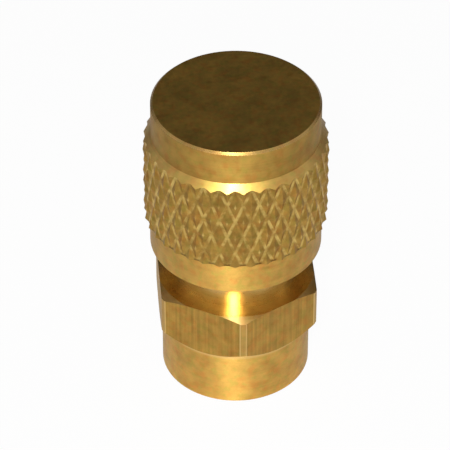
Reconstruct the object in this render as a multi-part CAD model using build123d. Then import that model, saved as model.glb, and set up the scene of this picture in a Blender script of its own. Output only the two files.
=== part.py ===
from build123d import *
import math
import os

# Refrigerant service (access) valve: a turned hexagon body with a 1/4 in SAE male flare that is
# covered by a knurled screw cap, and a spring-closed valve core screwed into the flare.
# Millimetres.  The origin is the centre of the base face and +Z points towards the cap.

# ---------------------------------------------------------------- driving dimensions
# Base and tube socket
base_d = 13.7
base_h = 5.55
base_edge = 0.2
socket_d = 9.63              # brazing socket for 3/8 in (9.52 mm) tube
socket_depth = 5.6
socket_lead = 0.35

# Hexagon, 9/16 in across the flats
hex_across_flats = 14.29
hex_corner_d = 16.24         # the bar's corners are turned off
hex_h = 5.35
hex_face_d = 14.62           # circle where the upper chamfer meets the top face
hex_chamfer = 18.0           # upper chamfer, degrees from the face
hex_lower_chamfer = 30.0

# Neck and flare above the hexagon
neck_d = 11.4
neck_h = 2.7
flare_h = 14.5
thread_d = 11.11             # 7/16-20 UNF, crest diameter
nose_end_d = 7.4
nose_angle = 45.0            # cone half angle, degrees
mouth_lead = 0.3

# Cap
cap_h = 15.83
cap_roof = 3.0
cap_edge = 0.2
band_d = 15.3
band_h = 3.33
shoulder_h = 0.79
knurl_d = 16.8
knurl_h = 8.25
skirt_d = 15.7
skirt_edge = 0.25
cap_lead = 0.6
thread_clearance = 0.08

# Diamond knurl
knurl_count = 36
knurl_helix = 22.5           # groove angle from the axis, degrees
knurl_depth = 0.28
knurl_floor = 0.12           # share of the groove pitch taken by the grooves' flat floor
knurl_stock = 0.3            # stock outside the peaks, which the knurling takes away
knurl_turn = 4.6             # place of a groove crossing past the hexagon's corner, degrees

# Cap seal
seal_d = 11.4
seal_t = 1.6
seal_side_gap = 0.12
seal_pocket_depth = 2.5

# Valve core: pin
pin_d = 1.1
pin_recess = 0.3             # tip below the end of the flare
pin_show = 1.7               # tip above the plug's bridge
pin_point = 0.27             # cone that rounds the tip off
pin_head_d = 1.8
pin_head_h = 0.4
collar_d = 2.5
collar_h = 0.4
collar_rest_gap = 0.2        # below the top of the spring chamber

# Valve core: plug
core_thread_d = 5.31         # 0.209-36 core thread, crest diameter
core_thread_clearance = 0.05
plug_h = 3.2
plug_lip_h = 0.5
bridge_w = 1.9
bridge_h = 1.2
bridge_span = 4.5
bridge_clearance = 0.06
swivel_clearance = 0.05

# Valve core: barrel
barrel_gap = 0.25            # flow gap between pin and barrel
barrel_neck_wall = 0.32
barrel_flange_h = 0.5
barrel_flange_step = 0.33
barrel_shoulder_d = 3.9
barrel_shoulder_h = 0.75
barrel_wall = 0.4
barrel_h = 7.0               # from the seal to the seat
barrel_foot_h = 0.6
barrel_foot_taper = 0.3
chamber_h = 4.0
chamber_clearance = 0.13
bore_clearance = 0.24

# Valve core: seal collar on the barrel
collar_seal_h = 1.6
collar_seal_wall = 0.75
collar_seal_taper = 0.26
collar_seal_fit = 0.02

# Valve core: seat washer, its cup and the spring
washer_d = 3.3
washer_t = 1.0
washer_fit = 0.02
cup_wall = 0.23
cup_floor = 0.38
cup_rim_drop = 0.3
port_clearance = 0.8
spring_gap = 0.4
spring_wire_d = 0.3
spring_wire_sides = 8
spring_coils = 4
spring_steps = 12            # straight steps that one coil is drawn with
spring_seat_clearance = 0.02

# ---------------------------------------------------------------- derived heights
hex_z = base_h + hex_h
flare_z = hex_z + flare_h
nose_h = (thread_d - nose_end_d) / 2 / math.tan(math.radians(nose_angle))
cap_ceiling_z = flare_z + seal_t
cap_top_z = cap_ceiling_z + cap_roof
cap_mouth_z = cap_top_z - cap_h
shoulder_top_z = cap_top_z - band_h
knurl_top_z = shoulder_top_z - shoulder_h
knurl_bottom_z = knurl_top_z - knurl_h

pin_tip_z = flare_z - pin_recess
bridge_top_z = pin_tip_z - pin_show
plug_top_z = bridge_top_z - bridge_h
plug_bottom_z = plug_top_z - plug_h
shoulder_z = plug_bottom_z - swivel_clearance
collar_seal_top_z = shoulder_z - barrel_shoulder_h
collar_seal_bottom_z = collar_seal_top_z - collar_seal_h
seat_z = collar_seal_bottom_z - barrel_h
spring_foot_z = seat_z + barrel_foot_h
chamber_top_z = spring_foot_z + chamber_h
collar_top_z = chamber_top_z - collar_rest_gap
collar_z = collar_top_z - collar_h
washer_bottom_z = seat_z - washer_t
cup_bottom_z = washer_bottom_z - washer_fit - cup_floor
pin_bottom_z = cup_bottom_z - washer_fit - pin_head_h

# ---------------------------------------------------------------- derived radii
pin_r = pin_d / 2
barrel_bore_r = pin_r + barrel_gap
barrel_neck_r = barrel_bore_r + barrel_neck_wall
barrel_flange_r = barrel_neck_r + barrel_flange_step
plug_cavity_r = barrel_flange_r + swivel_clearance
spring_inner_r = pin_r + spring_gap
spring_mean_r = spring_inner_r + spring_wire_d / 2
spring_outer_r = spring_inner_r + spring_wire_d
chamber_r = max(spring_outer_r, collar_d / 2) + chamber_clearance
barrel_r = chamber_r + barrel_wall
core_bore_r = barrel_r + bore_clearance
core_thread_bore_r = core_thread_d / 2 + core_thread_clearance
cup_r = washer_d / 2 + washer_fit + cup_wall
port_r = cup_r + port_clearance
knurl_floor_r = knurl_d / 2 - knurl_depth
cap_bore_r = thread_d / 2 + thread_clearance
seal_pocket_r = seal_d / 2 + seal_side_gap


def turned(outline):
    """Solid of revolution about Z from (radius, height) points."""
    points = [(radius, 0, height) for radius, height in outline]
    return revolve(make_face(Polyline(*points, close=True)), axis=Axis.Z)


def tube(outer_r, inner_r, low_z, high_z):
    """Plain ring between two heights."""
    return turned([(inner_r, low_z), (outer_r, low_z), (outer_r, high_z), (inner_r, high_z)])


# ---------------------------------------------------------------- valve body
def hexagon():
    """Hexagon section, its corners and both ends turned off."""
    corner_r = hex_corner_d / 2
    lower_rise = (corner_r - base_d / 2) * math.tan(math.radians(hex_lower_chamfer))
    upper_drop = (corner_r - hex_face_d / 2) * math.tan(math.radians(hex_chamfer))
    bar = extrude(
        RegularPolygon(hex_across_flats / 2, 6, major_radius=False, rotation=30),
        amount=hex_h,
    )
    envelope = turned([
        (0, base_h),
        (base_d / 2, base_h),
        (corner_r, base_h + lower_rise),
        (corner_r, hex_z - upper_drop),
        (hex_face_d / 2, hex_z),
        (0, hex_z),
    ])
    return Pos(0, 0, base_h) * bar & envelope


def flare_spigot():
    """Base cylinder, neck, threaded length and 45 degree nose, as one turned blank."""
    neck_r = neck_d / 2
    thread_r = thread_d / 2
    neck_top_z = hex_z + neck_h
    return turned([
        (0, 0),
        (base_d / 2 - base_edge, 0),
        (base_d / 2, base_edge),
        (base_d / 2, base_h),
        (neck_r, base_h),
        (neck_r, neck_top_z - (neck_r - thread_r)),
        (thread_r, neck_top_z),
        (thread_r, flare_z - nose_h),
        (nose_end_d / 2, flare_z),
        (0, flare_z),
    ])


def body_bores():
    """Everything drilled along the axis: tube socket, port, core bore, seal seat, core thread."""
    socket_r = socket_d / 2
    seal_seat_r = core_bore_r + collar_seal_taper
    thread_floor_z = collar_seal_top_z + collar_seal_fit
    port_top_z = seat_z + barrel_foot_h
    mouth_r = core_thread_bore_r + mouth_lead
    return turned([
        (0, 0),
        (socket_r + socket_lead, 0),
        (socket_r, socket_lead),
        (socket_r, socket_depth),
        (port_r, socket_depth),
        (port_r, port_top_z),
        (core_bore_r, port_top_z + port_r - core_bore_r),
        (core_bore_r, collar_seal_bottom_z),
        (seal_seat_r, collar_seal_top_z),
        (seal_seat_r, thread_floor_z),
        (core_thread_bore_r, thread_floor_z),
        (core_thread_bore_r, flare_z - mouth_lead),
        (mouth_r, flare_z),
        (0, flare_z),
    ])


def valve_body():
    return flare_spigot() + hexagon() - body_bores()


# ---------------------------------------------------------------- cap
def cap_blank():
    """The cap's turned outside, with stock left for the knurl."""
    band_r = band_d / 2
    skirt_r = skirt_d / 2
    stock_r = knurl_d / 2 + knurl_stock
    stock_top_z = knurl_top_z - knurl_stock * shoulder_h / (knurl_d / 2 - band_r)
    return turned([
        (0, cap_mouth_z),
        (skirt_r - skirt_edge, cap_mouth_z),
        (skirt_r, cap_mouth_z + skirt_edge),
        (skirt_r, knurl_bottom_z),
        (stock_r, knurl_bottom_z),
        (stock_r, stock_top_z),
        (band_r, shoulder_top_z),
        (band_r, cap_top_z - cap_edge),
        (band_r - cap_edge, cap_top_z),
        (0, cap_top_z),
    ])


def cap_cavity():
    """Threaded bore with a wider pocket for the seal above it."""
    pocket_floor_z = cap_ceiling_z - seal_pocket_depth
    return turned([
        (0, cap_mouth_z),
        (cap_bore_r + cap_lead, cap_mouth_z),
        (cap_bore_r, cap_mouth_z + cap_lead),
        (cap_bore_r, pocket_floor_z),
        (seal_pocket_r, pocket_floor_z),
        (seal_pocket_r, cap_ceiling_z),
        (0, cap_ceiling_z),
    ])


def knurl_drum():
    """
    Drum whose side is a field of diamond pyramids between two families of crossed grooves.

    The side is a lattice of half pitches.  Where row and column add up to an even number two
    grooves cross, and elsewhere a diamond has its peak.  The grooves have a narrow flat floor.
    Plain flutes carry the outline of the end rows past both ends of the cap.
    """
    columns = 2 * knurl_count
    row_h = math.pi * knurl_d / columns / math.tan(math.radians(knurl_helix))
    first_z = (shoulder_top_z + knurl_top_z) / 2
    top_row = -math.ceil((shoulder_top_z - first_z) / row_h)
    end_row = math.ceil((first_z - knurl_bottom_z) / row_h)
    reach = 1 - knurl_floor

    def place(radius, column, row, height=None):
        angle = math.radians(knurl_turn - 90 + column * 180 / knurl_count)
        if height is None:
            height = first_z - row * row_h
        return Vector(radius * math.cos(angle), radius * math.sin(angle), height)

    def peak(column, row, height=None):
        return place(knurl_d / 2, column, row, height)

    def foot(column, row, side, drop, height=None):
        """Corner of a diamond's foot, towards one of the four crossings round it."""
        return place(knurl_floor_r, column + reach * side, row + reach * drop, height)

    def facet(*corners):
        return Face(Wire.make_polygon(corners, close=True))

    def band(row):
        """Flanks, groove floors and crossings between one lattice row and the next."""
        faces = []
        for column in range(columns):
            side = 1 if (row + column) % 2 == 0 else -1
            above = column + 1 if side == 1 else column
            below = column if side == 1 else column + 1
            upper = (foot(above, row, -side, 0), foot(above, row, 0, 1))
            lower = (foot(below, row + 1, 0, -1), foot(below, row + 1, side, 0))
            faces.append(facet(peak(above, row), *upper))
            faces.append(facet(peak(below, row + 1), *lower))
            faces.append(facet(upper[0], upper[1], lower[1]))
            faces.append(facet(upper[0], lower[1], lower[0]))
            if side == 1:
                faces.append(facet(foot(column - 1, row, 1, 0), upper[0], lower[0]))
            else:
                faces.append(facet(foot(column - 1, row + 1, 1, 0), lower[1], upper[1]))
        return faces

    def end(row, height):
        """Flutes from an end row to a flat end, and that end."""
        rim = []
        close = []
        for column in range(columns):
            if (row + column) % 2:
                for corner in (
                    lambda h: foot(column, row, -1, 0, h),
                    lambda h: peak(column, row, h),
                    lambda h: foot(column, row, 1, 0, h),
                ):
                    rim.append(corner(None))
                    close.append(corner(height))
        faces = [facet(*close)]
        for index in range(len(rim)):
            before = index - 1
            faces.append(facet(rim[before], rim[index], close[index], close[before]))
        return faces

    faces = end(top_row, cap_top_z + row_h) + end(end_row, cap_mouth_z - row_h)
    for row in range(top_row, end_row):
        faces += band(row)
    return Solid(Shell(faces))


def cap():
    return (cap_blank() & knurl_drum()) - cap_cavity()


def cap_seal():
    """Rubber disc that the cap presses onto the end of the flare."""
    return turned([
        (0, flare_z),
        (seal_d / 2, flare_z),
        (seal_d / 2, cap_ceiling_z),
        (0, cap_ceiling_z),
    ])


# ---------------------------------------------------------------- valve core
def core_plug():
    """Threaded head, crimped loosely over the barrel, with a slotted bridge that guides the pin."""
    lip_r = barrel_neck_r + swivel_clearance
    ring = turned([
        (lip_r, plug_bottom_z),
        (core_thread_d / 2, plug_bottom_z),
        (core_thread_d / 2, plug_top_z),
        (plug_cavity_r, plug_top_z),
        (plug_cavity_r, plug_bottom_z + plug_lip_h),
        (lip_r, plug_bottom_z + plug_lip_h),
    ])
    bar = Pos(0, 0, (plug_top_z + bridge_top_z) / 2) * Box(bridge_span, bridge_w, bridge_h)
    bar &= Pos(0, 0, bar.center().Z) * Cylinder(bridge_span / 2, bridge_h)
    hole = Pos(0, 0, bar.center().Z) * Cylinder(pin_r + bridge_clearance, 2 * bridge_h)
    return ring + (bar - hole)


def core_barrel():
    """Sleeve that carries the seal collar outside and the spring inside; its foot is the seat."""
    groove_r = core_bore_r + collar_seal_taper / 2 - collar_seal_wall
    flange_z = plug_bottom_z + plug_lip_h + swivel_clearance
    return turned([
        (barrel_bore_r, seat_z),
        (barrel_r - barrel_foot_taper, seat_z),
        (barrel_r, seat_z + barrel_foot_taper),
        (barrel_r, collar_seal_bottom_z),
        (groove_r, collar_seal_bottom_z),
        (groove_r, collar_seal_top_z),
        (barrel_shoulder_d / 2, collar_seal_top_z),
        (barrel_shoulder_d / 2, shoulder_z),
        (barrel_neck_r, shoulder_z),
        (barrel_neck_r, flange_z),
        (barrel_flange_r, flange_z),
        (barrel_flange_r, flange_z + barrel_flange_h),
        (barrel_bore_r, flange_z + barrel_flange_h),
        (barrel_bore_r, chamber_top_z),
        (chamber_r, chamber_top_z),
        (chamber_r, spring_foot_z),
        (barrel_bore_r, spring_foot_z),
    ])


def barrel_seal():
    """Collar that seals the barrel in the tapered part of the core bore."""
    inner_r = core_bore_r + collar_seal_taper / 2 - collar_seal_wall + collar_seal_fit
    low_r = core_bore_r - collar_seal_fit
    return turned([
        (inner_r, collar_seal_bottom_z + collar_seal_fit),
        (low_r, collar_seal_bottom_z + collar_seal_fit),
        (low_r + collar_seal_taper, collar_seal_top_z - collar_seal_fit),
        (inner_r, collar_seal_top_z - collar_seal_fit),
    ])


def core_pin():
    """Headed wire with a swaged collar for the spring and a rounded tip."""
    return turned([
        (0, pin_bottom_z),
        (pin_head_d / 2, pin_bottom_z),
        (pin_head_d / 2, pin_bottom_z + pin_head_h),
        (pin_r, pin_bottom_z + pin_head_h),
        (pin_r, collar_z),
        (collar_d / 2, collar_z),
        (collar_d / 2, collar_top_z),
        (pin_r, collar_top_z),
        (pin_r, pin_tip_z - pin_point),
        (pin_r - pin_point, pin_tip_z),
        (0, pin_tip_z),
    ])


def seat_washer():
    """Rubber washer that closes against the barrel's foot."""
    return tube(washer_d / 2, pin_r + washer_fit, washer_bottom_z, seat_z)


def seat_cup():
    """Cup that holds the seat washer on the pin."""
    inner_r = washer_d / 2 + washer_fit
    floor_z = washer_bottom_z - washer_fit
    rim_z = seat_z - cup_rim_drop
    return turned([
        (pin_r + washer_fit, cup_bottom_z),
        (cup_r, cup_bottom_z),
        (cup_r, rim_z),
        (inner_r, rim_z),
        (inner_r, floor_z),
        (pin_r + washer_fit, floor_z),
    ])


def core_spring():
    """Compression spring between the barrel's foot and the pin's collar."""
    wire_r = spring_wire_d / 2
    low_z = spring_foot_z + spring_seat_clearance + wire_r
    high_z = collar_z - spring_seat_clearance - wire_r
    steps = spring_coils * spring_steps
    route = []
    for step in range(steps + 1):
        turn = 2 * math.pi * step / spring_steps
        height = low_z + (high_z - low_z) * step / steps
        route.append((spring_mean_r * math.cos(turn), spring_mean_r * math.sin(turn), height))
    path = Polyline(*route)
    section = Plane(path @ 0, z_dir=path % 0) * RegularPolygon(wire_r, spring_wire_sides)
    return sweep(section, path=path, transition=Transition.RIGHT)


# ---------------------------------------------------------------- export
os.makedirs("parts", exist_ok=True)
pieces = (
    valve_body,
    cap,
    cap_seal,
    core_plug,
    core_barrel,
    barrel_seal,
    core_pin,
    seat_cup,
    seat_washer,
    core_spring,
)
for make in pieces:
    export_step(make(), f"parts/{make.__name__}.step")
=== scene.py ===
import math

import bmesh
import bpy
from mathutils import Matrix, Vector


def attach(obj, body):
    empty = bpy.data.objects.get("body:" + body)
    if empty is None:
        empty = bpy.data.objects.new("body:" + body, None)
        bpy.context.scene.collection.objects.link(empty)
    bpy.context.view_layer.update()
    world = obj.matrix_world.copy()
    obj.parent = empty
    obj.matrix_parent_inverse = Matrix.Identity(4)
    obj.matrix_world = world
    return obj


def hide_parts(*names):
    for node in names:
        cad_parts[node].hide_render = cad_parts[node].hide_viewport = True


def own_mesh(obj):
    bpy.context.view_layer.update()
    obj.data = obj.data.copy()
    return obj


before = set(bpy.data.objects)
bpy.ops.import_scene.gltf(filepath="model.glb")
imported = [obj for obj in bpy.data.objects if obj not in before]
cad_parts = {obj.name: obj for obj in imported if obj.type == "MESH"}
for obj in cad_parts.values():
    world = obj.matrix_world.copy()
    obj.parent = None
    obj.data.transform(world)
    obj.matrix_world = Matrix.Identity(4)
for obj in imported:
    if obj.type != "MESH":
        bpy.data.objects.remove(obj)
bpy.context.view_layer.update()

# Refrigerant service valve.  The CAD pieces get procedural metal, rubber and plastic.  The body and
# the cap are dressed again with cut threads, and the core's spring with round wire.

# ---------------------------------------------------------------- sizes
MM = 0.001                      # metres

# Sizes of the CAD model that the dressed pieces repeat, in millimetres
BASE_R = 6.85
HEX_CORNER_R = 8.12             # turned corners of the hexagon
HEX_LOW, HEX_HIGH = 5.55, 10.9
HEX_LOWER_CHAMFER = 30          # degrees from the face
THREAD_R = 5.555                # crest of the flare's thread
THREAD_LOW, THREAD_HIGH = 13.6, 23.545
CAP_BORE_R = 5.635
CAP_BORE_LOW, CAP_BORE_HIGH = 14.77, 24.5
BAND_R = 7.65
BAND_LOW, CAP_TOP = 26.67, 30.0
KNURL_LOW, KNURL_HIGH = 17.63, 25.88
KNURL_FLOOR_R, KNURL_R = 8.12, 8.4
SPRING_LOW, SPRING_HIGH = 10.2, 13.6
SPRING_MEAN_R, SPRING_WIRE_R = 1.1, 0.15

# 7/16-20 UNF thread, in millimetres
PITCH = 1.27
THREAD_DEPTH = 0.61 * PITCH
FLANK = math.tan(math.radians(30))
CREST_HALF = PITCH / 16
THREAD_PLAY = 0.04              # along the axis, between the flare's thread and the cap's
FEMALE_DEPTH = 0.6
FEMALE_TIP = 0.19               # half the width of the cap thread's crest
THREAD_COLUMNS = 120            # steps round one turn
SPARE_TURNS = 2                 # rows beyond the thread, which the clamp at its ends takes up
WELD = 0.0005                   # distance under which a thread's points become one

# Chamfer that the dressed hexagon gets at its lower end, degrees from the face
DRESSED_CHAMFER = 45

# Telling the faces of the CAD pieces apart, by place in mm and by the upward part of the normal
NEAR = 0.01                     # tolerance on a place
UPRIGHT = 0.01                  # a face below this stands upright
SLOPING, LEVEL = 0.5, 0.99      # a face between these is a chamfer
KNURL_SLOPE = 0.45              # the knurl's facets stay below this
KNURL_REACH, BAND_REACH = 0.08, 0.25    # how far inside its radius a facet's centre may lie

# ---------------------------------------------------------------- node helpers
MIX_A, MIX_B, MIX_RESULT = 6, 7, 2      # colour sockets of a Mix node
MAP_RANGE = ("From Min", "From Max", "To Min", "To Max")


class Graph:
    """Short forms for building a node material."""

    def __init__(self, name):
        self.material = bpy.data.materials.new(name)
        self.material.use_nodes = True
        self.tree = self.material.node_tree
        self.tree.nodes.clear()
        self.shader = self.node("ShaderNodeBsdfPrincipled")
        self.output = self.node("ShaderNodeOutputMaterial")
        self.link(self.shader.outputs["BSDF"], self.output.inputs["Surface"])
        self.place = self.node("ShaderNodeTexCoord").outputs["Object"]

    def node(self, kind, **settings):
        made = self.tree.nodes.new(kind)
        for key, value in settings.items():
            setattr(made, key, value)
        return made

    def link(self, source, target):
        self.tree.links.new(source, target)

    def feed(self, target, value):
        """Link an output, or write a number or a colour, into an input."""
        if isinstance(value, bpy.types.NodeSocket):
            self.link(value, target)
        elif isinstance(value, tuple):
            target.default_value = (*value, 1)
        else:
            target.default_value = value

    def calc(self, operation, a, b=0.0):
        made = self.node("ShaderNodeMath", operation=operation)
        self.feed(made.inputs[0], a)
        self.feed(made.inputs[1], b)
        return made.outputs[0]

    def scaled(self, value, factor):
        return self.calc("MULTIPLY", value, factor)

    def noise(self, vector, scale, detail=3.0):
        made = self.node("ShaderNodeTexNoise")
        self.link(vector, made.inputs["Vector"])
        made.inputs["Scale"].default_value = scale
        made.inputs["Detail"].default_value = detail
        return made.outputs["Fac"]

    def span(self, value, low, high, to_low=0.0, to_high=1.0):
        """The value carried from low and high to the other two numbers, and held beyond them."""
        made = self.node("ShaderNodeMapRange", clamp=True)
        self.link(value, made.inputs["Value"])
        for socket, number in zip(MAP_RANGE, (low, high, to_low, to_high)):
            self.feed(made.inputs[socket], number)
        return made.outputs["Result"]

    def mix(self, factor, a, b, blend="MIX"):
        made = self.node("ShaderNodeMix", data_type="RGBA", blend_type=blend)
        self.feed(made.inputs["Factor"], factor)
        self.feed(made.inputs[MIX_A], a)
        self.feed(made.inputs[MIX_B], b)
        return made.outputs[MIX_RESULT]

    def combine(self, x, y, z):
        made = self.node("ShaderNodeCombineXYZ")
        for socket, value in zip(made.inputs, (x, y, z)):
            self.feed(socket, value)
        return made.outputs[0]

    def coordinates(self):
        """X, distance from the axis, and height."""
        split = self.node("ShaderNodeSeparateXYZ")
        self.link(self.place, split.inputs[0])
        x, y, z = split.outputs
        square = self.calc("ADD", self.calc("MULTIPLY", x, x), self.calc("MULTIPLY", y, y))
        return x, self.calc("SQRT", square), z

    def bump(self, height, distance, strength):
        made = self.node("ShaderNodeBump")
        made.inputs["Distance"].default_value = distance
        made.inputs["Strength"].default_value = strength
        self.link(height, made.inputs["Height"])
        self.link(made.outputs["Normal"], self.shader.inputs["Normal"])

    def uniform(self, values):
        for socket, value in values.items():
            self.shader.inputs[socket].default_value = value


# ---------------------------------------------------------------- brass
BRASS_LIGHT = (0.86, 0.535, 0.12)
BRASS_DARK = (0.7, 0.415, 0.088)
REDDISH = (1.0, 0.84, 0.8)
GREENISH = (0.88, 1.0, 0.9)
# Painted highlight colour for the hexagon's corner edges and the base's step
EDGE_HIGHLIGHT = (0.95, 0.68, 0.26)
# Painted highlight colour of the knurl's groove floors and peaks
KNURL_BURNISH_AND_HIGHLIGHT = (0.92, 0.66, 0.2)
# Painted shade colour at the lower ends of the knurl's grooves
GROOVE_END_SHADE = (0.25, 0.2, 0.15)

# Noise scales, per metre
ACROSS_RINGS, ALONG_RINGS = 5000, 120
ACROSS_DRAWN, ALONG_DRAWN = 3200, 120
UNMARKED = 2600
FINE = 9000
REDDISH_STAINS, GREENISH_STAINS = 1100, 1500
KNURL_PATCHES = 1000
PEBBLE = 8000
WIRE_TONE, WIRE_POLISH = 1800, 6000

# Stretches of the noise that carry from one end of a change to the other
TONE_SPAN = (0.36, 0.64)
STAIN_SPAN = (0.48, 0.66)
GRAIN_SPAN = (0.35, 0.65)
PATCH_SPAN = (0.42, 0.62)

MARKS_IN_COLOUR = {"ring": 0.25, "drawn": 0.6, "none": 0.25}
MARK_DEPTH = 0.02               # mm
PEBBLE_DEPTH = 0.01             # mm, on rubber, plastic and wire
COAT_ROUGHNESS = 0.2
ALONG_AXIS = 0.25               # anisotropic turn that draws highlights out along the axis


def tool_marks(g, grain, x, radius, height):
    """Lines round the axis, lines along it, or neither."""
    if grain == "ring":
        across = g.scaled(radius, ACROSS_RINGS), g.scaled(height, ACROSS_RINGS)
        return g.noise(g.combine(*across, g.scaled(x, ALONG_RINGS)), 1.0, 2.0)
    if grain == "drawn":
        stretch = g.node("ShaderNodeMapping")
        g.link(g.place, stretch.inputs["Vector"])
        stretch.inputs["Scale"].default_value = (ACROSS_DRAWN, ACROSS_DRAWN, ALONG_DRAWN)
        return g.noise(stretch.outputs["Vector"], 1.0, 3.0)
    return g.noise(g.place, UNMARKED, 2.0)


def brass(name, light=BRASS_LIGHT, dark=BRASS_DARK, roughness=(0.5, 0.6), anisotropy=None,
          grain="ring", mottle_scale=700, tarnish=1.0, bump=0.2, coat=0.0, mask=None):
    """Brass with tool marks, mottling and stains, and a mask's wear, painted highlights and shade.

    Roughness and anisotropy are given at the smoothest and the roughest grains of the surface.
    """
    g = Graph(name)
    x, radius, height = g.coordinates()
    lines = tool_marks(g, grain, x, radius, height)
    mottle = g.noise(g.place, mottle_scale, 4.0)
    fine = g.noise(g.place, FINE, 2.0)
    share = MARKS_IN_COLOUR[grain]
    tone = g.calc("ADD", g.scaled(mottle, 1 - share), g.scaled(lines, share))
    colour = g.mix(g.span(tone, *TONE_SPAN), dark, light)
    for scale, stain in ((REDDISH_STAINS, REDDISH), (GREENISH_STAINS, GREENISH)):
        amount = g.span(g.noise(g.place, scale, 4.0), *STAIN_SPAN, 0.0, tarnish)
        colour = g.mix(amount, colour, stain, "MULTIPLY")
    grains = g.calc("ADD", g.scaled(lines, 0.3), g.scaled(fine, 0.7))
    rough = g.span(grains, *GRAIN_SPAN, *roughness)
    if mask:
        colour, rough = mask(g, radius, height, colour, rough)
    g.link(colour, g.shader.inputs["Base Color"])
    g.link(rough, g.shader.inputs["Roughness"])
    g.bump(g.calc("ADD", g.scaled(lines, 0.7), g.scaled(fine, 0.3)), MARK_DEPTH * MM, bump)
    g.uniform({"Metallic": 1.0, "Coat Weight": coat, "Coat Roughness": COAT_ROUGHNESS})
    if anisotropy:
        g.link(g.span(grains, *GRAIN_SPAN, *anisotropy), g.shader.inputs["Anisotropic"])
        g.uniform({"Anisotropic Rotation": ALONG_AXIS})
        tangent = g.node("ShaderNodeTangent", direction_type="RADIAL", axis="Z")
        g.link(tangent.outputs["Tangent"], g.shader.inputs["Tangent"])
    return g.material


def knurl_mask(g, radius, height, colour, rough):
    """Smoother groove floors and peaks, unevenly painted lighter as highlight, with painted shade
    at the grooves' lower ends.
    """
    floor = g.span(radius, (KNURL_FLOOR_R + 0.005) * MM, (KNURL_FLOOR_R + 0.05) * MM, 1.0, 0.0)
    peak = g.span(radius, (KNURL_R - 0.07) * MM, (KNURL_R - 0.02) * MM)
    patchy = g.span(g.noise(g.place, KNURL_PATCHES), *PATCH_SPAN, 0.1, 1.0)
    bright = g.calc("MULTIPLY", g.calc("MAXIMUM", g.scaled(floor, 0.9), peak), patchy)
    # Painted highlight: floors and peaks get a lighter brass, besides less roughness
    colour = g.mix(bright, colour, KNURL_BURNISH_AND_HIGHLIGHT)
    rough = g.calc("SUBTRACT", rough, g.scaled(bright, 0.12))
    # Painted shade where the grooves end at the knurl's lower edge
    lower_end = g.span(height, (KNURL_LOW + 0.05) * MM, (KNURL_LOW + 0.3) * MM, 1.0, 0.0)
    groove_end_shade = g.scaled(g.calc("MULTIPLY", lower_end, floor), 0.85)
    return g.mix(groove_end_shade, colour, GROOVE_END_SHADE, "MULTIPLY"), rough


def corner_edge_highlight(g, radius, height, colour, rough):
    """Hexagon: a thin painted highlight along both edges of each turned corner."""
    rise = g.span(radius, (HEX_CORNER_R - 0.08) * MM, (HEX_CORNER_R - 0.02) * MM)
    fall = g.span(radius, (HEX_CORNER_R - 0.01) * MM, (HEX_CORNER_R - 0.003) * MM, 1.0, 0.25)
    edge = g.calc("MULTIPLY", rise, fall)
    # Painted highlight along the corner's edges
    colour = g.mix(g.scaled(edge, 0.8), colour, EDGE_HIGHLIGHT)
    return colour, g.calc("SUBTRACT", rough, g.scaled(edge, 0.1))


def step_highlight(g, radius, height, colour, rough):
    """Base: a pale painted highlight where it runs under the hexagon."""
    rise = g.span(height, (HEX_LOW - 0.3) * MM, (HEX_LOW - 0.05) * MM)
    fall = g.span(height, (HEX_LOW + 0.9) * MM, (HEX_LOW + 1.3) * MM, 1.0, 0.0)
    line = g.calc("MULTIPLY", rise, fall)
    # Painted highlight line
    colour = g.mix(g.scaled(line, 0.7), colour, EDGE_HIGHLIGHT)
    return colour, g.calc("SUBTRACT", rough, g.scaled(line, 0.1))


base_brass = brass("base_brass", anisotropy=(0.95, 0.6), roughness=(0.44, 0.62), coat=0.3,
                   mask=step_highlight)
skirt_brass = brass("skirt_brass", anisotropy=(0.9, 0.5), roughness=(0.46, 0.64), coat=0.3)
# Painted shade: a darker copy of the brass, for the dimmer light that the band reflects
shaded_band_brass = brass("shaded_band_brass", light=(0.65, 0.4, 0.088), dark=(0.52, 0.315, 0.068),
                   anisotropy=(0.7, 0.5), roughness=(0.52, 0.62), coat=0.15)
bright_cut = brass("bright_cut_brass", light=(0.84, 0.58, 0.19), dark=(0.7, 0.46, 0.14),
                   anisotropy=(0.6, 0.6), roughness=(0.27, 0.3), tarnish=0.4, bump=0.06, coat=0.6)
shoulder_brass = brass("shoulder_brass", roughness=(0.36, 0.43), coat=1.0)
# Painted reflection: a lighter copy of the brass that brightens the hexagon's upper chamfer
highlit_chamfer_brass = brass("highlit_chamfer_brass", light=(0.92, 0.66, 0.27), dark=(0.78, 0.5, 0.14),
                      anisotropy=(1.0, 0.85), roughness=(0.42, 0.5), tarnish=0.6, coat=0.5)
edge_brass = brass("edge_brass", light=(0.78, 0.48, 0.13), dark=(0.6, 0.34, 0.08),
                   roughness=(0.24, 0.34), coat=1.0)
top_face = brass("cap_top_brass", light=(0.72, 0.42, 0.09), dark=(0.5, 0.31, 0.07),
                 roughness=(0.4, 0.5), grain="none", mottle_scale=450)
knurled = brass("knurled_brass", light=(0.6, 0.36, 0.08), dark=(0.4, 0.235, 0.052),
                roughness=(0.38, 0.52), grain="none", mottle_scale=1200, mask=knurl_mask)
drawn = brass("drawn_brass", light=(0.64, 0.375, 0.078), dark=(0.42, 0.25, 0.05), grain="drawn",
              roughness=(0.42, 0.55), coat=0.15, mask=corner_edge_highlight)
plain_brass = brass("core_brass_finish", roughness=(0.35, 0.45))


# ---------------------------------------------------------------- rubber, plastic and steel
def dull(name, light, dark, roughness, scale):
    """Rubber or plastic: a slightly uneven colour with a fine pebble."""
    g = Graph(name)
    colour = g.mix(g.span(g.noise(g.place, scale), *GRAIN_SPAN), dark, light)
    rough = g.span(g.noise(g.place, 4 * scale), 0.3, 0.7, roughness - 0.06, roughness + 0.06)
    g.link(colour, g.shader.inputs["Base Color"])
    g.link(rough, g.shader.inputs["Roughness"])
    g.bump(g.noise(g.place, PEBBLE), PEBBLE_DEPTH * MM, 0.3)
    return g.material


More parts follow.
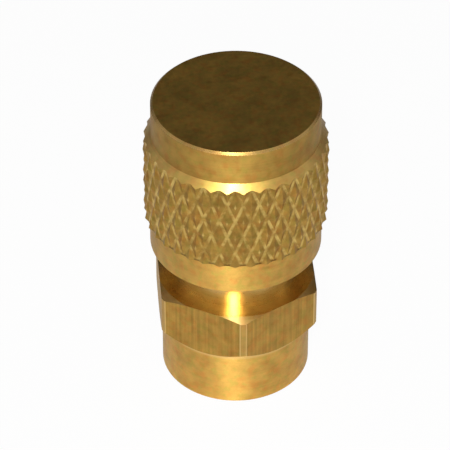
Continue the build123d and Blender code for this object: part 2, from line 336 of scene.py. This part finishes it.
def steel(name, light, dark):
    """Drawn wire."""
    g = Graph(name)
    colour = g.mix(g.span(g.noise(g.place, WIRE_TONE), *GRAIN_SPAN), dark, light)
    g.link(colour, g.shader.inputs["Base Color"])
    g.link(g.span(g.noise(g.place, WIRE_POLISH), 0.3, 0.7, 0.25, 0.4), g.shader.inputs["Roughness"])
    g.bump(g.noise(g.place, FINE), PEBBLE_DEPTH * MM, 0.2)
    g.uniform({"Metallic": 1.0})
    return g.material


seal_rubber = dull("seal_rubber_finish", (0.035, 0.034, 0.033), (0.02, 0.02, 0.02), 0.6, 1500)
collar_plastic = dull("collar_plastic_finish", (0.78, 0.76, 0.7), (0.68, 0.66, 0.6), 0.4, 1200)
spring_steel = steel("spring_steel_finish", (0.62, 0.61, 0.6), (0.42, 0.41, 0.4))


# ---------------------------------------------------------------- dressed pieces
def put(name, mesh, materials, body):
    piece = bpy.data.objects.new(name, mesh)
    bpy.context.scene.collection.objects.link(piece)
    for material in materials:
        mesh.materials.append(material)
    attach(piece, body)
    return piece


def without_cylinder(mesh, radius, low, high):
    """Delete the faces of a plain cylinder, and give the corner normals of the faces that stay."""
    def on_cylinder(index):
        co = mesh.vertices[index].co
        off = math.hypot(co.x, co.y) - radius * MM
        return abs(off) < NEAR * MM and low - NEAR < co.z / MM < high + NEAR

    normals = [tuple(corner.vector) for corner in mesh.corner_normals]
    gone = {p.index for p in mesh.polygons if all(on_cylinder(v) for v in p.vertices)}
    kept_normals = [normals[loop] for p in mesh.polygons if p.index not in gone
                    for loop in p.loop_indices]
    work = bmesh.new()
    work.from_mesh(mesh)
    work.faces.ensure_lookup_table()
    bmesh.ops.delete(work, geom=[work.faces[i] for i in sorted(gone)], context="FACES")
    work.to_mesh(mesh)
    work.free()
    return kept_normals


def steepen_lower_chamfer(mesh, normals):
    """Turn the cone under the hexagon's corners to the dressed chamfer angle."""
    old, new = (math.tan(math.radians(a)) for a in (HEX_LOWER_CHAMFER, DRESSED_CHAMFER))
    out = math.sin(math.radians(DRESSED_CHAMFER))
    down = math.cos(math.radians(DRESSED_CHAMFER))

    def on_cone(co):
        r = math.hypot(co.x, co.y) / MM
        return r > BASE_R - NEAR and abs(co.z / MM - HEX_LOW - (r - BASE_R) * old) < NEAR / 2

    moved = {v.index for v in mesh.vertices if on_cone(v.co)}
    for polygon in mesh.polygons:
        if polygon.normal.z < -SLOPING and all(v in moved for v in polygon.vertices):
            for loop in polygon.loop_indices:
                co = mesh.vertices[mesh.loops[loop].vertex_index].co
                r = math.hypot(co.x, co.y)
                normals[loop] = (co.x / r * out, co.y / r * out, -down)
    for index in moved:
        co = mesh.vertices[index].co
        co.z = (HEX_LOW + (math.hypot(co.x, co.y) / MM - BASE_R) * new) * MM


def thread_skin(plain_r, low, high, corners, outward, centre):
    """Right-hand thread as the skin of a cylinder, run out into it at both ends.

    The corners are one pitch of the profile, as offsets along the axis and radii, and the centre
    is the height of a profile's offset 0 at angle 0.
    """
    first = math.floor((low - centre) / PITCH) - SPARE_TURNS
    last = math.ceil((high - centre) / PITCH) + SPARE_TURNS
    rows = [(centre + turn * PITCH + offset, radius)
            for turn in range(first, last) for offset, radius in corners]
    verts = []
    for column in range(THREAD_COLUMNS + 1):
        angle = 2 * math.pi * column / THREAD_COLUMNS
        rise = PITCH * column / THREAD_COLUMNS
        for height, radius in rows:
            z = min(max(height + rise, low), high)
            run_out = min(1, (z - low) / PITCH, (high - z) / PITCH)
            r = plain_r + (radius - plain_r) * max(run_out, 0)
            verts.append((r * MM * math.cos(angle), r * MM * math.sin(angle), z * MM))
    step = len(rows)
    faces = []
    for column in range(THREAD_COLUMNS):
        for row in range(step - 1):
            a = column * step + row
            face = (a, a + step, a + step + 1, a + 1)
            faces.append(face if outward else face[::-1])
    mesh = bpy.data.meshes.new("thread")
    mesh.from_pydata(verts, [], faces)
    work = bmesh.new()
    work.from_mesh(mesh)
    bmesh.ops.remove_doubles(work, verts=work.verts, dist=WELD * MM)
    bmesh.ops.dissolve_degenerate(work, edges=work.edges, dist=WELD * MM)
    work.to_mesh(mesh)
    work.free()
    return mesh


def dressed(node_name, name, body, materials, pick, cylinder, thread, trim=None):
    """A node's own form with its plain thread cylinder swapped for a cut thread."""
    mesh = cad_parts[node_name].data.copy()
    mesh.name = name
    mesh.materials.clear()
    normals = without_cylinder(mesh, *cylinder)
    for polygon in mesh.polygons:
        polygon.material_index = pick(polygon)
    if trim:
        trim(mesh, normals)
    mesh.normals_split_custom_set(normals)
    piece = put(name, mesh, materials, body)
    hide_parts(node_name)
    put(name + "_thread", thread, [materials[0]], body)


def pick_body(polygon):
    """0 base and flare, 1 drawn hexagon, 2 neck and hexagon's top, 3 hexagon's upper chamfer."""
    height, slope = polygon.center.z / MM, polygon.normal.z
    if HEX_LOW < height < HEX_HIGH and abs(slope) < UPRIGHT:
        return 1
    if HEX_LOW + 1 < height < THREAD_LOW:
        return 3 if SLOPING < slope < LEVEL and height < HEX_HIGH else 2
    return 0


def pick_cap(polygon):
    """0 skirt, 1 top face, 2 knurl, 3 band, 4 shoulder, 5 top edge."""
    centre, slope = polygon.center / MM, abs(polygon.normal.z)
    radius = math.hypot(centre.x, centre.y)
    if centre.z > CAP_TOP - NEAR:
        return 1
    if (KNURL_LOW - NEAR < centre.z < BAND_LOW and radius > KNURL_FLOOR_R - KNURL_REACH
            and slope < KNURL_SLOPE):
        return 2
    if centre.z > KNURL_HIGH and radius > BAND_R - BAND_REACH:
        if slope < UPRIGHT:
            return 3
        return 4 if centre.z < BAND_LOW else 5
    return 0


MALE_ROOT = CREST_HALF + THREAD_DEPTH * FLANK
male = ((-CREST_HALF, THREAD_R), (CREST_HALF, THREAD_R),
        (MALE_ROOT, THREAD_R - THREAD_DEPTH), (PITCH - MALE_ROOT, THREAD_R - THREAD_DEPTH))
dressed("valve_body", "body", "valve",
        [base_brass, drawn, bright_cut, highlit_chamfer_brass], pick_body,
        (THREAD_R, THREAD_LOW, THREAD_HIGH),
        thread_skin(THREAD_R, THREAD_LOW, THREAD_HIGH, male, True, THREAD_LOW),
        steepen_lower_chamfer)

FEMALE_FOOT = PITCH / 2 - THREAD_PLAY - CREST_HALF
female = ((-FEMALE_FOOT, CAP_BORE_R), (-FEMALE_TIP, CAP_BORE_R - FEMALE_DEPTH),
          (FEMALE_TIP, CAP_BORE_R - FEMALE_DEPTH), (FEMALE_FOOT, CAP_BORE_R))
dressed("cap", "screw_cap_shell", "screw_cap",
        [skirt_brass, top_face, knurled, shaded_band_brass, shoulder_brass, edge_brass], pick_cap,
        (CAP_BORE_R, CAP_BORE_LOW, CAP_BORE_HIGH),
        thread_skin(CAP_BORE_R, CAP_BORE_LOW, CAP_BORE_HIGH, female, False,
                    THREAD_LOW + PITCH / 2))


def coil_spring():
    """Round-wire compression spring with closed end turns."""
    sides, steps, turns, closed = 12, 32, 5.5, 0.75
    total = int(steps * turns)
    low, high = SPRING_LOW + SPRING_WIRE_R, SPRING_HIGH - SPRING_WIRE_R
    flat = 2 * SPRING_WIRE_R * closed
    verts = []
    for step in range(total + 1):
        turn = step / steps
        open_share = min(max((turn - closed) / (turns - 2 * closed), 0), 1)
        close = min(turn, closed) / closed + (1 - min(turns - turn, closed) / closed)
        z = low + flat * close / 2 + (high - low - flat) * open_share
        angle = 2 * math.pi * turn
        for side in range(sides):
            around = 2 * math.pi * side / sides
            r = SPRING_MEAN_R + SPRING_WIRE_R * math.cos(around)
            verts.append((r * MM * math.cos(angle), r * MM * math.sin(angle),
                          (z + SPRING_WIRE_R * math.sin(around)) * MM))
    faces = [tuple(range(sides)), tuple(reversed(range(total * sides, (total + 1) * sides)))]
    for step in range(total):
        for side in range(sides):
            a, b = step * sides + side, step * sides + (side + 1) % sides
            faces.append((b, a, a + sides, b + sides))
    mesh = bpy.data.meshes.new("coil_spring")
    mesh.from_pydata(verts, [], faces)
    mesh.shade_smooth()
    piece = put("coil_spring", mesh, [spring_steel], "valve")
    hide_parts("core_spring")
    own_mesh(piece)


coil_spring()

# CAD pieces that keep their own form
for node_name, material in (
    ("core_plug", plain_brass), ("core_barrel", plain_brass), ("core_pin", plain_brass),
    ("seat_cup", plain_brass), ("seat_washer", seal_rubber), ("cap_seal", seal_rubber),
    ("barrel_seal", collar_plastic),
):
    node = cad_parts[node_name]
    node.data.materials.clear()
    node.data.materials.append(material)

# ---------------------------------------------------------------- camera
CAMERA_AZIMUTH = -4.8           # degrees
CAMERA_ELEVATION = 39.5
CAMERA_DISTANCE = 292.9         # mm from the point that it looks at
CAMERA_LENS = 256               # mm, on a sensor 36 mm wide
AIM_SIDE = -0.988               # that point, mm to the camera's right and above the base
AIM_HEIGHT = 15.7


def standing_off(azimuth, elevation):
    """Unit vector from the object towards a place at an azimuth and elevation in degrees."""
    a, e = math.radians(azimuth), math.radians(elevation)
    return Vector((math.sin(a) * math.cos(e), -math.cos(a) * math.cos(e), math.sin(e)))


def aim(thing, target, back, distance):
    """Put a camera or lamp into the scene, off the target by a direction and a distance."""
    thing.location = target + back * distance
    thing.rotation_mode = "QUATERNION"
    thing.rotation_quaternion = (-back).to_track_quat("-Z", "Y")
    bpy.context.scene.collection.objects.link(thing)


def add_camera():
    data = bpy.data.cameras.new("camera")
    data.lens = CAMERA_LENS
    data.sensor_width = 36
    data.clip_start = 0.001
    data.clip_end = 10
    camera = bpy.data.objects.new("camera", data)
    turn = math.radians(CAMERA_AZIMUTH)
    right = Vector((math.cos(turn), math.sin(turn), 0))
    target = (right * AIM_SIDE + Vector((0, 0, AIM_HEIGHT))) * MM
    aim(camera, target, standing_off(CAMERA_AZIMUTH, CAMERA_ELEVATION), CAMERA_DISTANCE * MM)
    bpy.context.scene.camera = camera


# ---------------------------------------------------------------- floor and light
FLOOR_NEAR, FLOOR_FAR = 0.015, 0.08             # metres from the axis
# Painted pool of light: the floor's tone is lighter near the axis than far off
FLOOR_LIGHT_POOL_NEAR, FLOOR_LIGHT_POOL_FAR = 0.8, 0.5
FLOOR_GLOW = 0.96               # share of plain white in what the camera sees
LAMP_TARGET = (0, 0, 0.015)
WORLD_LIGHT, WORLD_DIM = 0.46, 0.07
DIM_AZIMUTH, DIM_ELEVATION = 174, 28
DIM_EDGE, DIM_CORE = 0.3, 0.75  # cosines off the dim direction, from its edge to where it is full


def add_floor():
    """Floor that the camera sees as white, with a trace of its tone, a painted pool of light round
    the axis, and the soft shadow.
    """
    bpy.ops.mesh.primitive_plane_add(size=3, location=(0, 0, 0))
    floor = bpy.context.object
    floor.name = "floor"
    g = Graph("floor_white")
    _, distance, _ = g.coordinates()
    # Painted pool of light, lighter near the axis
    tone = g.span(distance, FLOOR_NEAR, FLOOR_FAR, FLOOR_LIGHT_POOL_NEAR, FLOOR_LIGHT_POOL_FAR)
    g.link(g.combine(tone, tone, tone), g.shader.inputs["Base Color"])
    g.uniform({"Roughness": 0.9, "Specular IOR Level": 0.0})
    glow = g.node("ShaderNodeEmission")
    glow.inputs["Strength"].default_value = 1.0
    rays = g.node("ShaderNodeLightPath").outputs
    blend = g.node("ShaderNodeMixShader")
    g.link(g.scaled(rays["Is Camera Ray"], FLOOR_GLOW), blend.inputs["Fac"])
    g.link(g.shader.outputs["BSDF"], blend.inputs[1])
    g.link(glow.outputs["Emission"], blend.inputs[2])
    g.link(blend.outputs[0], g.output.inputs["Surface"])
    floor.data.materials.append(g.material)


def add_lamp(name, azimuth, elevation, distance, width, height, power):
    """Soft rectangular lamp, in degrees, metres and watts."""
    data = bpy.data.lights.new(name, "AREA")
    data.shape = "RECTANGLE"
    data.size = width
    data.size_y = height
    data.energy = power
    lamp = bpy.data.objects.new(name, data)
    aim(lamp, Vector(LAMP_TARGET), standing_off(azimuth, elevation), distance)
    lamp.visible_camera = False


def add_world():
    """Even studio light, dim on the one side of the room that the camera faces."""
    world = bpy.data.worlds.new("world")
    world.use_nodes = True
    tree = world.node_tree
    background = tree.nodes["Background"]
    background.inputs["Strength"].default_value = 1.0
    place = tree.nodes.new("ShaderNodeTexCoord")
    dot = tree.nodes.new("ShaderNodeVectorMath")
    dot.operation = "DOT_PRODUCT"
    dot.inputs[1].default_value = standing_off(DIM_AZIMUTH, DIM_ELEVATION)
    tree.links.new(place.outputs["Generated"], dot.inputs[0])
    span = tree.nodes.new("ShaderNodeMapRange")
    span.interpolation_type = "SMOOTHSTEP"
    for socket, value in zip(MAP_RANGE, (DIM_EDGE, DIM_CORE, WORLD_LIGHT, WORLD_DIM)):
        span.inputs[socket].default_value = value
    tree.links.new(dot.outputs["Value"], span.inputs["Value"])
    tree.links.new(span.outputs["Result"], background.inputs["Color"])
    bpy.context.scene.world = world


add_camera()
add_floor()
add_lamp("key", azimuth=-9, elevation=39, distance=0.5, width=0.07, height=0.12, power=2.1)
add_world()
bpy.context.scene.view_settings.view_transform = "Standard"
